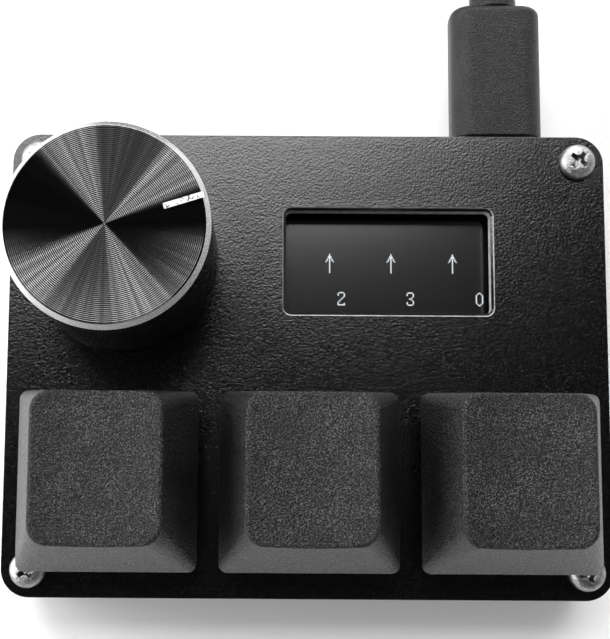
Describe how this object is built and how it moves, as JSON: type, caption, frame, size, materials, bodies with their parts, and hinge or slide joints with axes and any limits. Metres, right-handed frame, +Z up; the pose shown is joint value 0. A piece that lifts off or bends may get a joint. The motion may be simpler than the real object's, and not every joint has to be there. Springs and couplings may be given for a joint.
{
  "type": "macro keypad with keys, push dial and display",
  "caption": "Small flat desk keypad: a row of square spring keys, a round turn-and-push dial, a recessed display window and a plug-in cable.",
  "frame": {"origin": "under the middle of the case, on the table the rubber feet stand on", "axes": "+X to the right along the key row, +Y to the back where the cable leaves, +Z up"},
  "size_m": [0.0686, 0.1769, 0.0289],
  "materials": {
    "coated_metal": "fine textured black powder coat",
    "screw_steel": "nickel-plated, slightly worn",
    "black_screws": "black oxide",
    "foot_rubber": "matt",
    "board_mask": "dark solder mask",
    "chip_black": "matt moulded package",
    "part_tan": "ceramic",
    "port_metal": "plated",
    "display_glass": "clear polarised face over black",
    "backlight_white": "white moulded frame",
    "flex_amber": "amber film",
    "tape_pale": "foam tape",
    "keycap_plastic": "fine grained",
    "stem_red": "slippery moulded",
    "switch_black": "moulded",
    "spring_gold": "plated spring wire",
    "contact_copper": "bare",
    "encoder_black": "moulded",
    "bush_zinc": "die-cast",
    "clip_steel": "tinned",
    "rotor_pale": "moulded",
    "knob_metal": "black anodised, turned face with a bright chamfer",
    "knob_plastic": "moulded",
    "shaft_metal": "turned",
    "plug_metal": "plated",
    "mold_plastic": "soft moulded, fine grained",
    "cable_jacket": "satin",
    "tie_black": "hook and loop strap",
    "host_white": "moulded",
    "display_light": "lit display marks"
  },
  "bodies": {
    "case": {"case_frame": "coated_metal", "top_plate": "coated_metal", "bottom_plate": "coated_metal", "top_screws": "screw_steel", "bottom_screws": "black_screws", "rubber_feet": "foot_rubber", "main_board": "board_mask", "controller_chip": "chip_black", "board_parts": "part_tan", "port_shell": "port_metal", "port_tongue": "switch_black", "display_glass": "display_glass", "display_backlight": "backlight_white", "display_flex": "flex_amber", "display_tape": "tape_pale", "switch_cover_1": "switch_black", "switch_cover_2": "switch_black", "switch_cover_3": "switch_black", "switch_base_1": "switch_black", "switch_base_2": "switch_black", "switch_base_3": "switch_black", "key_spring_1": "spring_gold", "key_spring_2": "spring_gold", "key_spring_3": "spring_gold", "switch_contacts_1": "contact_copper", "switch_contacts_2": "contact_copper", "switch_contacts_3": "contact_copper", "switch_sockets": "switch_black", "encoder_base": "encoder_black", "encoder_bush": "bush_zinc", "encoder_clip": "clip_steel", "detent_spring": "clip_steel", "encoder_pins": "clip_steel", "push_dome": "clip_steel", "plug_shell": "plug_metal", "plug_insert": "switch_black", "plug_overmold": "mold_plastic", "strain_relief": "mold_plastic", "cable_run": "cable_jacket", "cable_coil": "cable_jacket", "cable_tail": "cable_jacket", "cable_ties": "tie_black", "host_relief": "mold_plastic", "host_overmold": "mold_plastic", "host_shell": "plug_metal", "host_insert": "host_white"},
    "key_1": {"keycap_1": "keycap_plastic", "key_stem_1": "stem_red"},
    "key_2": {"keycap_2": "keycap_plastic", "key_stem_2": "stem_red"},
    "key_3": {"keycap_3": "keycap_plastic", "key_stem_3": "stem_red"},
    "encoder_wheel": {"encoder_rotor": "rotor_pale"},
    "dial": {"encoder_shaft": "shaft_metal", "knob_core": "knob_plastic", "knob_shell": "knob_metal"}
  },
  "joints": [
    {"name": "key_1_press", "type": "slide", "parent": "case", "child": "key_1", "axis": [0, 0, -1], "range_m": [0, 0.004], "stiffness_N_per_m": 75, "springref_m": -0.004, "deforming": ["key_spring_1"]},
    {"name": "key_2_press", "type": "slide", "parent": "case", "child": "key_2", "axis": [0, 0, -1], "range_m": [0, 0.004], "stiffness_N_per_m": 75, "springref_m": -0.004, "deforming": ["key_spring_2"]},
    {"name": "key_3_press", "type": "slide", "parent": "case", "child": "key_3", "axis": [0, 0, -1], "range_m": [0, 0.004], "stiffness_N_per_m": 75, "springref_m": -0.004, "deforming": ["key_spring_3"]},
    {"name": "dial_turn", "type": "hinge", "parent": "case", "child": "encoder_wheel", "pos_m": [-0.0197, 0.0111, 0.0134], "axis": [0, 0, 1], "continuous": true},
    {"name": "dial_push", "type": "slide", "parent": "encoder_wheel", "child": "dial", "axis": [0, 0, -1], "range_m": [0, 0.0005], "stiffness_N_per_m": 1500, "springref_m": -0.0012}
  ]
}
